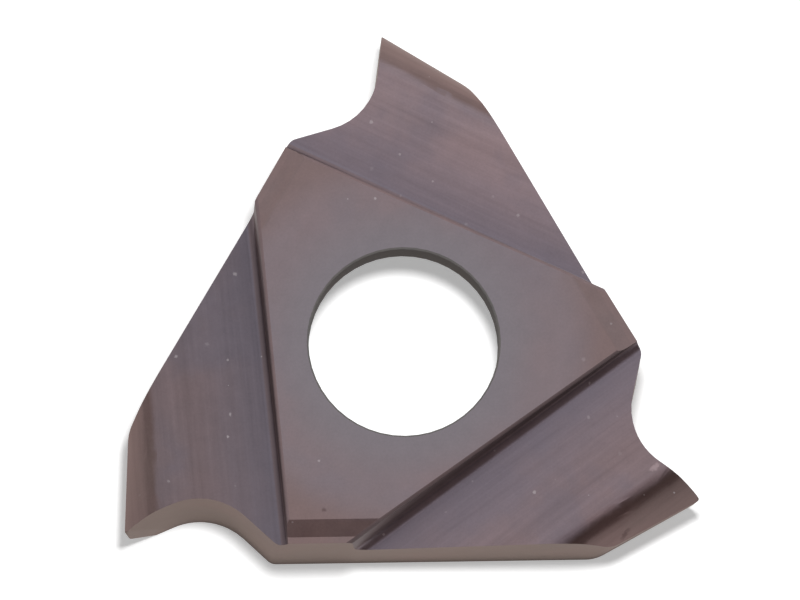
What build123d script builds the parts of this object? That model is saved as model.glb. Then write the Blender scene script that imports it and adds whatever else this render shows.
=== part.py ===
# Three-edged grooving insert of coated carbide, sintered and ground as one piece.
# The bore axis is Z, the flat back face lies on z = 0 and one side faces -Y.
import os
from math import atan2, cos, degrees, radians, sin, sqrt, tan

from build123d import *

# The blank: a triangular plate with a narrow rim round its raised top
inscribed_circle = 9.525
thickness = 3.18
edge_count = 3
corner_direction = 90
rim_width = 0.15
rim_drop = 0.12
bevel_width = 0.4

# Bore: a straight land under the top face, then a screw seat opening to the back
bore_diameter = 4.5
bore_land = 0.8
bore_edge_break = 0.04
seat_half_angle = 20

# One cutting edge, placed for the wing that points to the lower right
tip_projection = 3.14
tip_direction = -27.4
tip_depth = 1.48
tip_width = 0.7

# Clearance face of that wing, leaning in towards the back, and its corner with the body's side
clearance_angle = 27.7
clearance_undercut = 4.3
heel_radius = 0.9

# Chip notch: rake line from the tip, an arc, then a run out through the body's side
rake_direction = 142.7
notch_radius = 1.55
notch_run_direction = 76.3
notch_lean_angle = 2.3
body_corner_place = 3.11
body_corner_radius = 0.3

# Ground floor of the wing, which rises towards the tip
floor_depth = 0.972
floor_tilt_angle = 6.75
floor_rise_direction = 11.7

# Step between that floor and the raised land round the bore
step_direction = 35
step_distance = 3.21
step_foot_radius = 0.22

# Rounded flank above the clearance face, and the relief facet under the tip
flank_width = 0.83
flank_bulge = 0.1
flank_edge_radius = 0.6
relief_length = 0.75
relief_run = 2.4

# How far a cut runs on past the blank, and how wide a flat cutter is
overrun = 3.0
cutter_size = 30.0

side_distance = inscribed_circle / 2
side_spacing = 360 / edge_count
notch_side = corner_direction - side_spacing / 2
rim_height = thickness - rim_drop
bore_radius = bore_diameter / 2
seat_depth = thickness - bore_land
seat_radius = bore_radius + seat_depth * tan(radians(seat_half_angle))
floor_height = thickness - floor_depth
tip_height = thickness - tip_depth
tip_radius = side_distance + tip_projection


def heading(direction, length=1.0):
    """Vector of a given length in the XY plane."""
    return Vector(cos(radians(direction)) * length, sin(radians(direction)) * length, 0)


floor_slope = heading(floor_rise_direction, tan(radians(floor_tilt_angle)))


def floor_over(point):
    """Height of the wing floor over a point of the XY plane."""
    return floor_height + floor_slope.dot(point)


def edges_near(body, point):
    """The edge of a body nearest to a point of the first wing, and its like on the other wings."""
    return [
        body.edges().sort_by_distance(point.rotate(Axis.Z, side_spacing * turn))[0]
        for turn in range(edge_count)
    ]


tip = heading(tip_direction, tip_radius)
tip_top = tip + Vector(0, 0, tip_height)
tip_bottom = tip_top - Vector(0, 0, tip_width)
rake = heading(rake_direction)
clearance_inward = heading(clearance_angle + 180)
clearance_outward = heading(clearance_angle - 90)
clearance_slope = tan(radians(clearance_undercut))

with BuildPart() as floor_cut:
    step_line = heading(step_direction)
    floor_plane = Plane(
        origin=(0, 0, floor_height),
        x_dir=step_line + Vector(0, 0, floor_slope.dot(step_line)),
        z_dir=Vector(0, 0, 1) - floor_slope,
    )
    with BuildSketch(floor_plane):
        with Locations((0, -step_distance)):
            Rectangle(cutter_size, side_distance + overrun, align=(Align.CENTER, Align.MAX))
    extrude(amount=thickness)
    step_foot = floor_plane.from_local_coords((0, -step_distance, 0))
    fillet(floor_cut.edges().sort_by_distance(step_foot)[0], step_foot_radius)

with BuildPart() as flank_cut:
    flank_height = floor_over(tip) - tip_height
    flank_length = sqrt(flank_width**2 + flank_height**2)
    flank_middle = (
        -flank_width / 2 + flank_bulge * flank_height / flank_length,
        flank_height / 2 + flank_bulge * flank_width / flank_length,
    )
    flank_plane = Plane(
        origin=tip_top - clearance_inward * overrun,
        x_dir=clearance_outward,
        z_dir=clearance_inward,
    )
    with BuildSketch(flank_plane):
        with BuildLine():
            ThreePointArc((0, 0), flank_middle, (-flank_width, flank_height))
            Polyline(
                (-flank_width, flank_height),
                (-flank_width, thickness),
                (overrun, thickness),
                (overrun, 0),
                (0, 0),
            )
        make_face()
    extrude(amount=tip_radius + overrun)

with BuildPart() as clearance_cut:
    clearance_plane = Plane(
        origin=tip_top,
        x_dir=clearance_inward,
        z_dir=clearance_outward - Vector(0, 0, clearance_slope),
    )
    with BuildSketch(clearance_plane):
        Rectangle(cutter_size, cutter_size)
    extrude(amount=side_distance)

with BuildPart() as notch_cut:
    body_corner = heading(notch_side, side_distance) + heading(notch_side - 90, body_corner_place)
    run = heading(notch_run_direction)
    gap = body_corner - tip
    rake_to_corner = (gap.X * run.Y - gap.Y * run.X) / (rake.X * run.Y - rake.Y * run.X)
    notch_corner = tip + rake * rake_to_corner
    rake_end = tip - rake * overrun
    run_end = body_corner + run * overrun
    far_side = tip_radius + overrun
    notch_lean = tan(radians(notch_lean_angle))
    notch_shift = notch_lean * (tip_height + overrun)
    with BuildSketch(Plane((notch_shift, 0, -overrun))) as notch_outline:
        with BuildLine():
            Polyline(
                (rake_end.X, rake_end.Y),
                (notch_corner.X, notch_corner.Y),
                (run_end.X, run_end.Y),
                (far_side, run_end.Y),
                (far_side, rake_end.Y),
                close=True,
            )
        make_face()
        notch_root = notch_outline.vertices().sort_by_distance((notch_corner.X, notch_corner.Y, 0))[0]
        fillet(notch_root, notch_radius)
    extrude(amount=thickness + 2 * overrun, dir=(-notch_lean, 0, 1))

with BuildPart() as relief_cut:
    clearance_foot = tip - clearance_outward * (tip_height * clearance_slope)
    relief_end = clearance_foot + clearance_inward * relief_run
    relief_start = tip + rake * relief_length
    relief_normal = (relief_start - relief_end).cross(tip_bottom - relief_end)
    with BuildSketch(Plane(origin=relief_end, z_dir=relief_normal)):
        Rectangle(cutter_size, cutter_size)
    extrude(amount=side_distance)

with BuildPart() as insert:
    with BuildSketch():
        RegularPolygon(side_distance, edge_count, major_radius=False, rotation=corner_direction)
    extrude(amount=rim_height)
    with BuildSketch(Plane.XY.offset(rim_height)):
        RegularPolygon(side_distance - rim_width, edge_count, major_radius=False, rotation=corner_direction)
    extrude(amount=rim_drop, taper=degrees(atan2(bevel_width, rim_drop)))
    with BuildSketch(Plane.XZ):
        with BuildLine():
            Polyline(
                (0, 0),
                (seat_radius, 0),
                (bore_radius, seat_depth),
                (bore_radius, thickness - bore_edge_break),
                (bore_radius + bore_edge_break, thickness),
                (0, thickness),
                close=True,
            )
        make_face()
    revolve(axis=Axis.Z, mode=Mode.SUBTRACT)
    with PolarLocations(0, edge_count):
        add(notch_cut.part, mode=Mode.SUBTRACT)
        add(clearance_cut.part, mode=Mode.SUBTRACT)
    fillet(edges_near(insert, body_corner + Vector(0, 0, tip_height)), body_corner_radius)
    heel_distance = (side_distance + tip.Y) / abs(clearance_inward.Y)
    heel = tip_top + clearance_inward * heel_distance
    fillet(edges_near(insert, heel), heel_radius)
    with PolarLocations(0, edge_count):
        add(floor_cut.part, mode=Mode.SUBTRACT)
        add(flank_cut.part, mode=Mode.SUBTRACT)
        add(relief_cut.part, mode=Mode.SUBTRACT)
    flank_edge = tip + clearance_inward * (heel_distance / 2) - clearance_outward * flank_width
    fillet(edges_near(insert, flank_edge + Vector(0, 0, floor_over(flank_edge))), flank_edge_radius)

insert.part.label = "grooving_insert"
os.makedirs("parts", exist_ok=True)
export_step(insert.part, "parts/grooving_insert.step")
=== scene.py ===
"""Three-edged carbide grooving insert with a satin purple-brown hard coating.

The insert lies on a white table with its raised land up. Lengths are in metres, directions in degrees.
Its three wings are called right, top and left, as they lie before the camera.
"""
from math import atan2, cos, degrees, pi, radians, sin

import bmesh
import bpy
from mathutils import Matrix, Vector


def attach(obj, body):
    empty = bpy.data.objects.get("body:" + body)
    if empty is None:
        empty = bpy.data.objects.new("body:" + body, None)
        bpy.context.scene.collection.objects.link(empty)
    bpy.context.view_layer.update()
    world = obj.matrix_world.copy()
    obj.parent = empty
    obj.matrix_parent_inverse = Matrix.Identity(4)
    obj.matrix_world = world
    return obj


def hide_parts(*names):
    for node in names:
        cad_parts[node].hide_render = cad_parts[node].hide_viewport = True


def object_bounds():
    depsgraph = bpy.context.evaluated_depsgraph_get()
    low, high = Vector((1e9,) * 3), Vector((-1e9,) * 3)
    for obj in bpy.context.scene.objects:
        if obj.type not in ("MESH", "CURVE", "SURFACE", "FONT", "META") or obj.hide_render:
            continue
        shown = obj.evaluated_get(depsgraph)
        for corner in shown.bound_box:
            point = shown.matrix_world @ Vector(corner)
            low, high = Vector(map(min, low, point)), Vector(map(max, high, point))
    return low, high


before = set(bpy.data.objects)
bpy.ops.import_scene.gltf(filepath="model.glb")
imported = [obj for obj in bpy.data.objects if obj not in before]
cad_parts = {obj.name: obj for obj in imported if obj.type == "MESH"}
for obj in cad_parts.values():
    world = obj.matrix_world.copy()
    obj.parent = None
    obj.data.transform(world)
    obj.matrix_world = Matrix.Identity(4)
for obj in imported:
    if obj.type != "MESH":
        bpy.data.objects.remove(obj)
cad_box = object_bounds()

NODE = "grooving_insert"

# Sizes of the solid that the finishes and roundings follow
MM = 0.001
THICKNESS = cad_box[1][2]
SIDE_DISTANCE = -cad_box[0][1]
SIDE_COUNT = 3
SIDE_SPACING = 360 / SIDE_COUNT
RIM_DROP = 0.12 * MM
STEP_DIRECTION = 35.0
STEP_DISTANCE = 3.21 * MM
TIP_DIRECTION = -27.4
TIP_RADIUS = SIDE_DISTANCE + 3.14 * MM

# How bright each wing's surfaces are against the colours below: painted light and shade, as each wing's
# floor, cool strip by the step, flank and rounded step edge are lit differently
WINGS = (
    {"name": "right", "floor": 1.0, "near_step": 1.0, "flank": 1.0, "step": 1.15},
    {"name": "top", "floor": 1.17, "near_step": 0.94, "flank": 1.42, "step": 2.3},
    {"name": "left", "floor": 0.76, "near_step": 0.78, "flank": 1.08, "step": 2.0},
)


# Node helpers

def feed(tree, socket, value):
    """Links a socket to another one, or sets it to a plain number, vector or colour."""
    if isinstance(value, bpy.types.NodeSocket):
        tree.links.new(value, socket)
    elif socket.type == "RGBA":
        socket.default_value = (*value, 1)
    else:
        socket.default_value = value


def new_node(tree, kind, inputs=None, **properties):
    """Adds a node, sets its properties, and feeds its inputs, given by name or number."""
    node = tree.nodes.new(kind)
    for name, value in properties.items():
        setattr(node, name, value)
    for name, value in (inputs or {}).items():
        feed(tree, node.inputs[name], value)
    return node


def calc(tree, operation, *values, clamp=False):
    """One step of arithmetic on sockets or numbers."""
    inputs = dict(enumerate(values))
    return new_node(tree, "ShaderNodeMath", inputs, operation=operation, use_clamp=clamp).outputs[0]


def calc_vector(tree, operation, *values):
    """One step of arithmetic on vectors. It puts out a Vector and a Value."""
    return new_node(tree, "ShaderNodeVectorMath", dict(enumerate(values)), operation=operation).outputs


def scale_vector(tree, vector, factor):
    """A vector times a number."""
    inputs = {"Vector": vector, "Scale": factor}
    return new_node(tree, "ShaderNodeVectorMath", inputs, operation="SCALE").outputs[0]


def coordinate(tree, vector, axis):
    """One coordinate of a vector."""
    return new_node(tree, "ShaderNodeSeparateXYZ", {0: vector}).outputs[axis]


def ramp(tree, value, low, high):
    """Rises smoothly from 0 to 1 while the value goes from low to high."""
    inputs = {"Value": value, "From Min": low, "From Max": high}
    return new_node(tree, "ShaderNodeMapRange", inputs, interpolation_type="SMOOTHSTEP").outputs[0]


def around_one(tree, value, contrast):
    """Turns a value between 0 and 1 into a factor round 1."""
    return calc(tree, "MULTIPLY_ADD", value, 2 * contrast, 1 - contrast)


def mix_colours(tree, share, first, second, blend="MIX"):
    """Mixes two colours. The node's sockets go by number, because its other kinds share their names."""
    inputs = {0: share, 6: first, 7: second}
    return new_node(tree, "ShaderNodeMix", inputs, data_type="RGBA", blend_type=blend).outputs[2]


def noise(tree, vector, scale, detail=2.0, roughness=0.5):
    """Noise between 0 and 1, with its features per unit of the vector."""
    inputs = {"Vector": vector, "Scale": scale, "Detail": detail, "Roughness": roughness}
    return new_node(tree, "ShaderNodeTexNoise", inputs, noise_dimensions="3D").outputs["Fac"]


def new_group(name, inputs, outputs):
    """Starts a shader node group, with its sockets given by name and kind."""
    tree = bpy.data.node_groups.new(name, "ShaderNodeTree")
    for in_out, sockets in (("INPUT", inputs), ("OUTPUT", outputs)):
        for socket_name, kind in sockets.items():
            tree.interface.new_socket(socket_name, in_out=in_out, socket_type="NodeSocket" + kind)
    return tree, tree.nodes.new("NodeGroupInput").outputs, tree.nodes.new("NodeGroupOutput").inputs


def use_group(tree, group, **inputs):
    """Places a node group and feeds its inputs."""
    return new_node(tree, "ShaderNodeGroup", inputs, node_tree=group).outputs


# Effects that the finishes share, with their patterns in millimetres

def make_coating_tint():
    """Clouds of three tints, as a thin hard coating shows where its thickness drifts."""
    tree, given, result = new_group(
        "coating_tint",
        {"Position": "Vector", "Plain": "Color", "Warm": "Color", "Cool": "Color", "Clouds": "Float"},
        {"Color": "Color"},
    )
    warm_scale, warm_low, warm_high = 0.34, 0.42, 0.66
    cool_scale, cool_low, cool_high = 0.5, 0.45, 0.66
    shift = (31.0, 17.0, 5.0)
    place = scale_vector(tree, given["Position"], 1 / MM)
    elsewhere = calc_vector(tree, "ADD", place, shift)["Vector"]
    warm_clouds = noise(tree, place, warm_scale, detail=3.0)
    cool_clouds = noise(tree, elsewhere, cool_scale, detail=4.0)
    warm = calc(tree, "MULTIPLY", ramp(tree, warm_clouds, warm_low, warm_high), given["Clouds"])
    cool = calc(tree, "MULTIPLY", ramp(tree, cool_clouds, cool_low, cool_high), given["Clouds"])
    colour = mix_colours(tree, warm, given["Plain"], given["Warm"])
    feed(tree, result["Color"], mix_colours(tree, cool, colour, given["Cool"]))
    return tree


def make_grain():
    """Fine grain of sintered carbide under its coating."""
    tree, given, result = new_group(
        "carbide_grain",
        {"Position": "Vector", "Size": "Float"},
        {"Height": "Float", "Mottle": "Float"},
    )
    coarse_scale, fine_share = 0.16, 0.5
    place = scale_vector(tree, given["Position"], calc(tree, "DIVIDE", 1 / MM, given["Size"]))
    fine = noise(tree, place, 1.0, detail=3.0, roughness=0.6)
    coarse = noise(tree, place, coarse_scale)
    fine_part = calc(tree, "MULTIPLY", fine, fine_share)
    coarse_part = calc(tree, "MULTIPLY", coarse, 1 - fine_share)
    feed(tree, result["Height"], fine)
    feed(tree, result["Mottle"], calc(tree, "ADD", fine_part, coarse_part))
    return tree


def make_grinding_lines():
    """Lines and bands left by a grinding wheel, along the X of a vector in millimetres."""
    tree, given, result = new_group(
        "grinding_lines", {"Vector": "Vector"}, {"Lines": "Float", "Bands": "Float"},
    )
    for name, along, across, detail in (("Lines", 0.35, 9.0, 3.0), ("Bands", 0.12, 2.4, 2.0)):
        stretched = calc_vector(tree, "MULTIPLY", given["Vector"], (along, across, along))["Vector"]
        feed(tree, result[name], noise(tree, stretched, 1.0, detail=detail, roughness=0.6))
    return tree


def make_specks():
    """A mask of sparse small specks, each of its own size and strength."""
    tree, given, result = new_group(
        "specks",
        {"Position": "Vector", "Spacing": "Float", "Radius": "Float", "Share": "Float"},
        {"Mask": "Float"},
    )
    outline_scale, outline_swing, outline_least = 22 / MM, 1.6, 0.2
    least_size, soft_edge = 0.4, 0.6
    place = scale_vector(tree, given["Position"], calc(tree, "DIVIDE", 1 / MM, given["Spacing"]))
    cell_inputs = {"Vector": place, "Scale": 1.0}
    cells = new_node(
        tree, "ShaderNodeTexVoronoi", cell_inputs, voronoi_dimensions="2D", feature="F1",
    ).outputs
    outline = noise(tree, given["Position"], outline_scale, detail=1.0)
    ragged = calc(tree, "MULTIPLY_ADD", outline, outline_swing, outline_least)
    ragged_spacing = calc(tree, "MULTIPLY", given["Spacing"], ragged)
    distance = calc(tree, "MULTIPLY", cells["Distance"], ragged_spacing)
    picked, strength, size = new_node(tree, "ShaderNodeSeparateColor", {0: cells["Color"]}).outputs
    radius = calc(tree, "MULTIPLY", given["Radius"], calc(tree, "ADD", size, least_size))
    inside = calc(tree, "SUBTRACT", 1.0, calc(tree, "DIVIDE", distance, radius), clamp=True)
    chosen = calc(tree, "LESS_THAN", picked, given["Share"])
    dimmed = calc(tree, "MULTIPLY", chosen, strength)
    feed(tree, result["Mask"], calc(tree, "MULTIPLY", ramp(tree, inside, 0.0, soft_edge), dimmed))
    return tree


coating_tint = make_coating_tint()
carbide_grain = make_grain()
grinding_lines = make_grinding_lines()
specks = make_specks()


# Finishes: a plain, a warm and a cool colour each

LAND_COLOURS = ((0.232, 0.190, 0.206), (0.252, 0.186, 0.194), (0.212, 0.185, 0.211))
RIM_COLOURS = ((0.221, 0.161, 0.160), (0.232, 0.162, 0.158), (0.210, 0.160, 0.162))
WING_COLOURS = ((0.243, 0.190, 0.205), (0.260, 0.190, 0.198), (0.189, 0.169, 0.207))
# The flanks' colours are dark for painted shade where a wing's surface leans
FLANK_SHADE_COLOURS = ((0.148, 0.105, 0.101), (0.160, 0.101, 0.099), (0.133, 0.092, 0.089))
SIDE_COLOURS = ((0.172, 0.138, 0.121), (0.184, 0.136, 0.122), (0.150, 0.122, 0.108))
BORE_COLOURS = ((0.125, 0.118, 0.114), (0.132, 0.118, 0.112), (0.115, 0.113, 0.114))
# The steps' colours are dark for painted shade on the step walls and rounded step edges
STEP_SHADE_COLOURS = ((0.085, 0.062, 0.064), (0.090, 0.062, 0.063), (0.080, 0.060, 0.063))
BORE_GREY = (0.222, 0.201, 0.223)
WALL_TONE = 1.9
BORE_EDGE_TONE = 1.3

# Colours of the sheen at a grazing view
WHITE = (1.0, 1.0, 1.0)
COATING_SHEEN = (0.72, 0.62, 0.59)
BORE_SHEEN = (0.30, 0.28, 0.27)

# Grain, grinding lines and specks, with sizes and depths in millimetres
GRAIN_SIZE, GRAIN_DEPTH, GRAIN_CONTRAST, GLOSS_SWING = 0.06, 0.0006, 0.25, 0.2
LINE_DEPTH, LINE_CONTRAST, LINE_SHARE = 0.0015, 0.3, 0.55
SPECK_SPACING, SPECK_RADIUS, SPECK_STRENGTH = 0.7, 0.045, 0.6
SPECK_COLOUR = (0.5, 0.46, 0.48)

# How far from the bore's axis, in millimetres, its grey ends and the rim's colour sets in
BORE_GREY_ENDS = (2.3, 3.6)
RIM_SETS_IN = (3.7, 4.8)

# A wing turns to its cool, darker colour towards its step, over this distance across it in millimetres,
# and by this share: painted shade of the lower-lit floor by the step.
# What leans there keeps the last share of the floor's colour, and so less of the painted flank shade
NEAR_STEP = (-4.9, -2.5)
COOL_SHARE, FLOOR_SHARE = 0.9, 0.5

# A colour fades to the second one as the height falls, or as the surface leans. On a wing, the second
# colour where it leans is the flank's painted shade
RIM_FADE = ("Object", THICKNESS - 0.03 * MM, THICKNESS)
FLANK_FADE = ("Normal", 0.88, 0.99)

# Single marks that the photograph shows, with their places and sizes in millimetres
DARK_SPECK = {
    "centre": (-1.94, -3.99, 3.18), "length": 0.14, "width": 0.12, "direction": 0,
    "tint": (0.08, 0.05, 0.05), "strength": 0.6,
}
# Painted highlight: a small glint at the right wing's notch edge
PAINTED_GLINT = {
    "centre": (5.87, -3.02, 2.82), "length": 0.36, "width": 0.16, "direction": 33,
    "tint": (0.48, 0.38, 0.40), "strength": 0.55,
}
DARK_NICK = {
    "centre": (5.19, -4.47, 1.83), "length": 0.36, "width": 0.13, "direction": 48,
    "tint": (0.06, 0.035, 0.035), "strength": 0.6,
}
WING_MARKS = {"right": (PAINTED_GLINT, DARK_NICK)}

# How fine a mark's ragged outline is, and the reach over which the mark fades out
MARK_OUTLINE, MARK_ENDS = 15 / MM, (0.8, 1.6)


def toned(colours, tone):
    """Some colours, each times one number."""
    return [[tone * part for part in colour] for colour in colours]


def coating_colour(tree, place, colours, clouds):
    """The coating's cloudy colour."""
    plain, warm, cool = colours
    inputs = {"Position": place, "Plain": plain, "Warm": warm, "Cool": cool, "Clouds": clouds}
    return use_group(tree, coating_tint, **inputs)["Color"]


def tint_round_bore(tree, place, colour):
    """Lays the bore's grey over a colour next to the bore, and the rim's colour far from it."""
    flat = calc_vector(tree, "MULTIPLY", place, (1 / MM, 1 / MM, 0))["Vector"]
    radius = calc_vector(tree, "LENGTH", flat)["Value"]
    colour = mix_colours(tree, ramp(tree, radius, *BORE_GREY_ENDS), BORE_GREY, colour)
    return mix_colours(tree, ramp(tree, radius, *RIM_SETS_IN), colour, RIM_COLOURS[0])


def grind(tree, place, direction):
    """Grinding lines in a direction: a factor for the colour, a height, and how near the step is."""
    inputs = {"Vector": place, "Rotation": (0, 0, radians(direction)), "Scale": (MM, MM, MM)}
    turned = new_node(tree, "ShaderNodeMapping", inputs, vector_type="TEXTURE").outputs[0]
    ground = use_group(tree, grinding_lines, Vector=turned)
    line_part = calc(tree, "MULTIPLY", ground["Lines"], LINE_SHARE)
    band_part = calc(tree, "MULTIPLY", ground["Bands"], 1 - LINE_SHARE)
    streaks = around_one(tree, calc(tree, "ADD", line_part, band_part), LINE_CONTRAST)
    height = calc(tree, "MULTIPLY", ground["Lines"], LINE_DEPTH)
    across = calc(tree, "ADD", coordinate(tree, turned, "Y"), ground["Bands"])
    return streaks, height, ramp(tree, across, *NEAR_STEP)


def add_mark(tree, place, colour, centre, length, width, direction, tint, strength):
    """Lays one small long mark over a colour."""
    inputs = {
        "Vector": place,
        "Location": [MM * part for part in centre],
        "Rotation": (0, 0, radians(direction)),
        "Scale": (MM * length / 2, MM * width / 2, MM),
    }
    local = new_node(tree, "ShaderNodeMapping", inputs, vector_type="TEXTURE").outputs[0]
    reach = calc_vector(tree, "LENGTH", local)["Value"]
    ragged = calc(tree, "ADD", reach, noise(tree, place, MARK_OUTLINE, detail=1.0))
    cover = calc(tree, "SUBTRACT", 1.0, ramp(tree, ragged, *MARK_ENDS))
    return mix_colours(tree, calc(tree, "MULTIPLY", cover, strength), colour, tint)


def carbide_finish(
    name, colours, clouds=0.5, roughness=0.4, metallic=0.85, sheen=COATING_SHEEN, speck_share=0.2,
    marks=(), round_bore=False, line_direction=None, second_colours=None, fade=None,
):
    """Hard coating over carbide. Where it is ground, the lines run in a direction given in degrees."""
    material = bpy.data.materials.new(name)
    material.use_nodes = True
    tree = material.node_tree
    texture_place = new_node(tree, "ShaderNodeTexCoord").outputs
    place = texture_place["Object"]
    grain = use_group(tree, carbide_grain, Position=place, Size=GRAIN_SIZE)
    shade = around_one(tree, grain["Mottle"], GRAIN_CONTRAST)
    height = calc(tree, "MULTIPLY", grain["Height"], GRAIN_DEPTH)
    gloss = calc(tree, "MULTIPLY_ADD", grain["Mottle"], GLOSS_SWING, roughness - GLOSS_SWING / 2)
    colour = coating_colour(tree, place, colours, clouds)
    if round_bore:
        colour = tint_round_bore(tree, place, colour)
    floor_share = 0.0
    if line_direction is not None:
        streaks, line_height, near_step = grind(tree, place, line_direction)
        shade = calc(tree, "MULTIPLY", shade, streaks)
        height = calc(tree, "ADD", height, line_height)
        # Painted shade: towards the step the floor turns to its cool, darker colour
        colour = mix_colours(tree, calc(tree, "MULTIPLY", near_step, COOL_SHARE), colour, colours[2])
        floor_share = calc(tree, "MULTIPLY", near_step, FLOOR_SHARE)
    # Painted shade on a wing: where the surface leans, its colour fades to the dark flank colour
    if second_colours:
        source, low, high = fade
        first_share = ramp(tree, coordinate(tree, texture_place[source], "Z"), low, high)
        first_share = calc(tree, "MAXIMUM", first_share, floor_share)
        second = coating_colour(tree, place, second_colours, clouds)
        colour = mix_colours(tree, first_share, second, colour)
    grey = new_node(tree, "ShaderNodeCombineColor", {0: shade, 1: shade, 2: shade}).outputs[0]
    colour = mix_colours(tree, 1.0, colour, grey, blend="MULTIPLY")
    bright = use_group(
        tree, specks, Position=place, Spacing=SPECK_SPACING, Radius=SPECK_RADIUS, Share=speck_share,
    )
    cover = calc(tree, "MULTIPLY", bright["Mask"], SPECK_STRENGTH)
    colour = mix_colours(tree, cover, colour, SPECK_COLOUR)
    for mark in marks:
        colour = add_mark(tree, place, colour, **mark)
    bump = new_node(tree, "ShaderNodeBump", {"Strength": 1.0, "Distance": MM, "Height": height})
    shader = tree.nodes["Principled BSDF"]
    for socket_name, value in {
        "Base Color": colour, "Roughness": gloss, "Metallic": metallic, "Specular Tint": sheen,
        "Normal": bump.outputs[0],
    }.items():
        feed(tree, shader.inputs[socket_name], value)
    return material


def matte_finish(name, colours, sheen=COATING_SHEEN):
    """The coating on small steep faces, where it is rougher, less metallic and free of specks."""
    return carbide_finish(name, colours, metallic=0.2, roughness=0.6, sheen=sheen, speck_share=0.0)


def ground_finish(turn, wing):
    """The ground floor of a wing and, as the surface leans, its flank, toned per wing as painted light
    and shade, with the darker flank as painted shade.
    """
    floor_colours = toned(WING_COLOURS[:2], wing["floor"]) + toned(WING_COLOURS[2:], wing["near_step"])
    return carbide_finish(
        "ground_wing_" + wing["name"], floor_colours, second_colours=toned(FLANK_SHADE_COLOURS, wing["flank"]),
        fade=FLANK_FADE, line_direction=STEP_DIRECTION + SIDE_SPACING * turn, speck_share=0.35,
        marks=WING_MARKS.get(wing["name"], ()),
    )


FINISHES = [
    carbide_finish(
        "land_finish", LAND_COLOURS, clouds=0.6, sheen=WHITE, round_bore=True,
        second_colours=RIM_COLOURS, fade=RIM_FADE, marks=(DARK_SPECK,),
    ),
    carbide_finish("side_finish", SIDE_COLOURS, roughness=0.5, speck_share=0.1),
    carbide_finish("bore_finish", BORE_COLOURS, roughness=0.5, speck_share=0.0, sheen=BORE_SHEEN),
    matte_finish("bore_edge", toned(BORE_COLOURS, BORE_EDGE_TONE), sheen=BORE_SHEEN),
    # Step walls and rounded step edges carry painted shade, lighter on the wings where less shade shows
    matte_finish("step_wall", toned(STEP_SHADE_COLOURS, WALL_TONE)),
    *(ground_finish(turn, wing) for turn, wing in enumerate(WINGS)),
    *(matte_finish("rounded_step_" + wing["name"], toned(STEP_SHADE_COLOURS, wing["step"])) for wing in WINGS),
]
LAND, SIDE, BORE, BORE_EDGE, WALL, FIRST_WING, *_ = range(len(FINISHES))
FIRST_STEP = FIRST_WING + SIDE_COUNT

# Stand-in numbers that the roundings carry until they get their finish
STEP_ROUND, TIP_ROUND = len(FINISHES), len(FINISHES) + 1


# The insert

STEP_ROUNDING, STEP_SEGMENTS = 0.08 * MM, 4
TIP_ROUNDING, TIP_SEGMENTS = 0.07 * MM, 3

# Limits by which faces and edges are told apart: lengths, angles, and parts of a normal
TOLERANCE = 0.01 * MM
BORE_REACH, TIP_REACH, WALL_REACH = 3.2 * MM, 0.25 * MM, 0.3 * MM
STEP_END = 1.5 * MM
TIP_EDGE_HEIGHT = 0.3 * MM
LONG_EDGE = 0.06 * MM
WING_MIDDLE = -20
SHARP = radians(14)
FACING, STEEP, LEANING = 0.9, 0.3, 0.2

# Points closer than this are merged, and facets as flat as this joined, in the copy of the CAD mesh
MERGE_DISTANCE, FLAT = 0.001 * MM, radians(0.05)


def heading(direction):
    """Flat unit vector in a direction given in degrees."""
    return Vector((cos(radians(direction)), sin(radians(direction)), 0))


def off_step(turn):
    """Flat unit vector in the direction that a wing's step faces, away from the land."""
    return heading(STEP_DIRECTION - 90 + SIDE_SPACING * turn)


def wing_of(point):
    """Number of the wing nearest to a point."""
    return round((degrees(atan2(point.y, point.x)) - WING_MIDDLE) / SIDE_SPACING) % SIDE_COUNT


def on_step_wall(face):
    """Whether a face belongs to the steep wall between a wing's floor and the land."""
    middle = face.calc_center_median()
    outward = off_step(wing_of(middle))
    return face.normal.dot(outward) > FACING and abs(middle.dot(outward) - STEP_DISTANCE) < WALL_REACH


def is_step_edge(edge):
    """Whether an edge is the upper edge of a step, up to where the step gets too low to be rounded."""
    walls = [face for face in edge.link_faces if on_step_wall(face)]
    lands = [face for face in edge.link_faces if face.material_index == LAND]
    if len(walls) != 1 or len(lands) != 1:
        return False
    middle = (edge.verts[0].co + edge.verts[1].co) / 2
    along = heading(STEP_DIRECTION + SIDE_SPACING * wing_of(walls[0].calc_center_median()))
    return middle.dot(along) < STEP_END


def is_tip_edge(edge):
    """Whether an edge is the upright one at a wing's tip."""
    first, second = (vert.co for vert in edge.verts)
    tips = [heading(TIP_DIRECTION + SIDE_SPACING * turn) * TIP_RADIUS for turn in range(SIDE_COUNT)]
    at_tip = any(all((end - tip).xy.length < TIP_REACH for end in (first, second)) for tip in tips)
    return at_tip and edge.calc_face_angle() > SHARP and abs(first.z - second.z) > TIP_EDGE_HEIGHT


def finish_of(face):
    """Index of the finish that a face has, read from its place and direction."""
    middle, normal = face.calc_center_median(), face.normal
    if normal.z > FACING and middle.z > THICKNESS - RIM_DROP - TOLERANCE:
        return LAND
    if middle.xy.length < BORE_REACH and normal.xy.dot(middle.xy) < 0:
        return BORE if normal.z < STEEP else BORE_EDGE
    if on_step_wall(face):
        return WALL
    return FIRST_WING + wing_of(middle) if normal.z > LEANING else SIDE


def final_finish(face):
    """Index of a face's finish once the roundings are told apart: a step's by the way it faces."""
    if face.material_index == STEP_ROUND:
        return FIRST_STEP + max(range(SIDE_COUNT), key=lambda turn: face.normal.dot(off_step(turn)))
    return SIDE if face.material_index == TIP_ROUND else face.material_index


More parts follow.
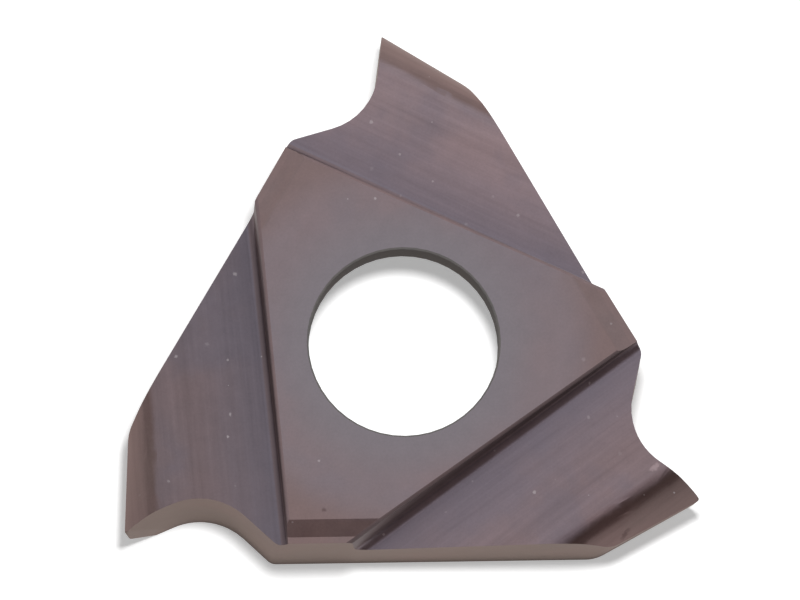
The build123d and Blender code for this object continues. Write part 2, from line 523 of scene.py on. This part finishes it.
def round_edges(bm, chosen, width, segments, number):
    """Rounds the edges that a test chooses, and gives the roundings a finish number."""
    edges = [edge for edge in bm.edges if edge.is_manifold and chosen(edge)]
    strips = bmesh.ops.bevel(
        bm, geom=edges, offset=width, offset_type="OFFSET", segments=segments, profile=0.5,
        affect="EDGES", material=-1, clamp_overlap=True, loop_slide=True,
    )
    for face in strips["faces"]:
        face.material_index = number


def is_crease(edge):
    """Whether an edge is shaded as a crease. The lines that run along a rounding aren't."""
    if not edge.is_manifold or edge.calc_face_angle() < SHARP:
        return False
    beside_rounding = any(face.material_index in (STEP_ROUND, TIP_ROUND) for face in edge.link_faces)
    return not beside_rounding or edge.calc_length() < LONG_EDGE


def make_insert():
    """The CAD solid's own skin with rounded step edges and blunt tips."""
    bm = bmesh.new()
    bm.from_mesh(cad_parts[NODE].data)
    bmesh.ops.remove_doubles(bm, verts=bm.verts, dist=MERGE_DISTANCE)
    bmesh.ops.dissolve_limit(
        bm, angle_limit=FLAT, use_dissolve_boundaries=False, verts=bm.verts, edges=bm.edges,
    )
    for face in bm.faces:
        face.material_index = finish_of(face)
    round_edges(bm, is_step_edge, STEP_ROUNDING, STEP_SEGMENTS, STEP_ROUND)
    round_edges(bm, is_tip_edge, TIP_ROUNDING, TIP_SEGMENTS, TIP_ROUND)
    for edge in bm.edges:
        edge.smooth = not is_crease(edge)
    for face in bm.faces:
        below_top = face.calc_center_median().z < THICKNESS - TOLERANCE
        face.smooth = face.material_index != LAND or not below_top
        face.material_index = final_finish(face)
    mesh = bpy.data.meshes.new("insert_skin")
    bm.to_mesh(mesh)
    bm.free()
    for material in FINISHES:
        mesh.materials.append(material)
    piece = bpy.data.objects.new("coated_insert", mesh)
    bpy.context.scene.collection.objects.link(piece)
    shading = piece.modifiers.new("even_shading", "WEIGHTED_NORMAL")
    shading.keep_sharp = True
    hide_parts(NODE)
    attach(piece, "root")


make_insert()


# Table, light and camera

TABLE_SIZE = 0.6
TABLE_GAP = 0.002 * MM
TABLE_WHITE = (0.88, 0.88, 0.88)
TABLE_GLOW_SEEN, TABLE_GLOW_MIRRORED = 0.37, 0.35

LAMP_HEIGHT, LAMP_SIZE, LAMP_LEVEL = 52 * MM, 7.4 * MM, 0.9
LAMP_PLACE = (1.0 * MM, -0.1 * MM, LAMP_HEIGHT)

# What the insert mirrors: how bright each part of the room is, and where it begins and is full
ROOM_LEVEL, FAR_LEVEL, CEILING_LEVEL, PANEL_LEVEL, NEAR_LEVEL = 0.06, 0.61, 0.48, 0.3, 0.16
FAR_SIDE, NEAR_SIDE = (-0.5, 0.2), (-0.9, -0.45)
CEILING_DIRECTION, CEILING = (0.05, 0.07, 1), (0.88, 0.995)
PANEL_INNER, PANEL_OUTER = (0.15, 0.4), (0.5, 0.8)
NEAR_TINT = (1.0, 0.68, 0.62)

# The room's soft light on matte surfaces
SOFT_LIGHT_LEVEL = 0.16

CAMERA_DISTANCE = 102.411 * MM
CAMERA_TILT, CAMERA_TURN, CAMERA_ROLL = 12.478, -7.13, -6.203
CAMERA_AIM = Vector((-0.073 * MM, 1.007 * MM, THICKNESS))
IMAGE_WIDTH, SENSOR_WIDTH = 800, 36.0
FOCAL_PIXELS = 4332.174


def make_table():
    """A white table, whose glow for the camera makes the background white and keeps the shadow."""
    bm = bmesh.new()
    bmesh.ops.create_grid(bm, x_segments=1, y_segments=1, size=TABLE_SIZE)
    bmesh.ops.translate(bm, verts=bm.verts, vec=(0, 0, -TABLE_GAP))
    mesh = bpy.data.meshes.new("table")
    bm.to_mesh(mesh)
    bm.free()
    table = bpy.data.objects.new("table", mesh)
    bpy.context.scene.collection.objects.link(table)
    material = bpy.data.materials.new("white_table")
    material.use_nodes = True
    tree = material.node_tree
    tree.nodes.clear()
    path = new_node(tree, "ShaderNodeLightPath").outputs
    mirrored = calc(tree, "MULTIPLY", path["Is Glossy Ray"], TABLE_GLOW_MIRRORED)
    seen = calc(tree, "MULTIPLY_ADD", path["Is Camera Ray"], TABLE_GLOW_SEEN, mirrored)
    paper = new_node(tree, "ShaderNodeBsdfDiffuse", {"Color": TABLE_WHITE})
    glow = new_node(tree, "ShaderNodeEmission", {"Strength": seen})
    both = new_node(tree, "ShaderNodeAddShader", {0: paper.outputs[0], 1: glow.outputs[0]})
    new_node(tree, "ShaderNodeOutputMaterial", {"Surface": both.outputs[0]})
    mesh.materials.append(material)


def make_lamp():
    """One small lamp close above the insert."""
    lamp = bpy.data.lights.new("overhead_lamp", "AREA")
    lamp.shape = "DISK"
    lamp.size = LAMP_SIZE
    lamp.energy = LAMP_LEVEL * pi**2 * LAMP_HEIGHT**2
    holder = bpy.data.objects.new("overhead_lamp", lamp)
    holder.location = LAMP_PLACE
    holder.visible_glossy = False
    holder.visible_camera = False
    bpy.context.scene.collection.objects.link(holder)


def make_room():
    """A white room to the camera. What the insert mirrors is brighter overhead and on the far side."""
    world = bpy.data.worlds.new("studio_room")
    bpy.context.scene.world = world
    world.use_nodes = True
    tree = world.node_tree
    tree.nodes.clear()
    direction = new_node(tree, "ShaderNodeTexCoord").outputs["Generated"]
    sideways = calc(tree, "ABSOLUTE", coordinate(tree, direction, "X"))
    away = coordinate(tree, direction, "Y")
    upward = Vector(CEILING_DIRECTION).normalized()
    overhead = calc_vector(tree, "DOT_PRODUCT", direction, upward)["Value"]
    far_side = ramp(tree, away, *FAR_SIDE)
    near_fill = calc(tree, "SUBTRACT", 1.0, ramp(tree, away, *NEAR_SIDE))
    ceiling = ramp(tree, overhead, *CEILING)
    inner, outer = ramp(tree, sideways, *PANEL_INNER), ramp(tree, sideways, *PANEL_OUTER)
    panels = calc(tree, "MULTIPLY", calc(tree, "SUBTRACT", inner, outer), far_side)
    room = ROOM_LEVEL
    for part, level in (
        (far_side, FAR_LEVEL), (ceiling, CEILING_LEVEL), (near_fill, NEAR_LEVEL), (panels, PANEL_LEVEL),
    ):
        room = calc(tree, "MULTIPLY_ADD", part, level, room)
    path = new_node(tree, "ShaderNodeLightPath").outputs
    mirrored = calc(tree, "MULTIPLY", room, path["Is Glossy Ray"])
    soft_light = calc(tree, "MULTIPLY", path["Is Diffuse Ray"], SOFT_LIGHT_LEVEL)
    unseen = calc(tree, "MAXIMUM", mirrored, soft_light)
    brightness = calc(tree, "MAXIMUM", path["Is Camera Ray"], unseen)
    near_side = calc(tree, "MULTIPLY", calc(tree, "SUBTRACT", 1.0, far_side), path["Is Glossy Ray"])
    colour = mix_colours(tree, near_side, WHITE, NEAR_TINT)
    back = new_node(tree, "ShaderNodeBackground", {"Color": colour, "Strength": brightness})
    new_node(tree, "ShaderNodeOutputWorld", {"Surface": back.outputs[0]})


def make_camera():
    """A long lens nearly over the insert, at the photograph's angle."""
    lens = bpy.data.cameras.new("camera")
    lens.sensor_width = SENSOR_WIDTH
    lens.lens = FOCAL_PIXELS / IMAGE_WIDTH * SENSOR_WIDTH
    lens.clip_start = 10 * MM
    camera = bpy.data.objects.new("camera", lens)
    camera.matrix_world = (
        Matrix.Translation(CAMERA_AIM)
        @ Matrix.Rotation(radians(CAMERA_TURN), 4, "Z")
        @ Matrix.Rotation(radians(CAMERA_TILT), 4, "X")
        @ Matrix.Translation((0, 0, CAMERA_DISTANCE))
        @ Matrix.Rotation(radians(-CAMERA_ROLL), 4, "Z")
    )
    bpy.context.scene.collection.objects.link(camera)
    bpy.context.scene.camera = camera


make_table()
make_lamp()
make_room()
make_camera()
bpy.context.scene.view_settings.view_transform = "Standard"
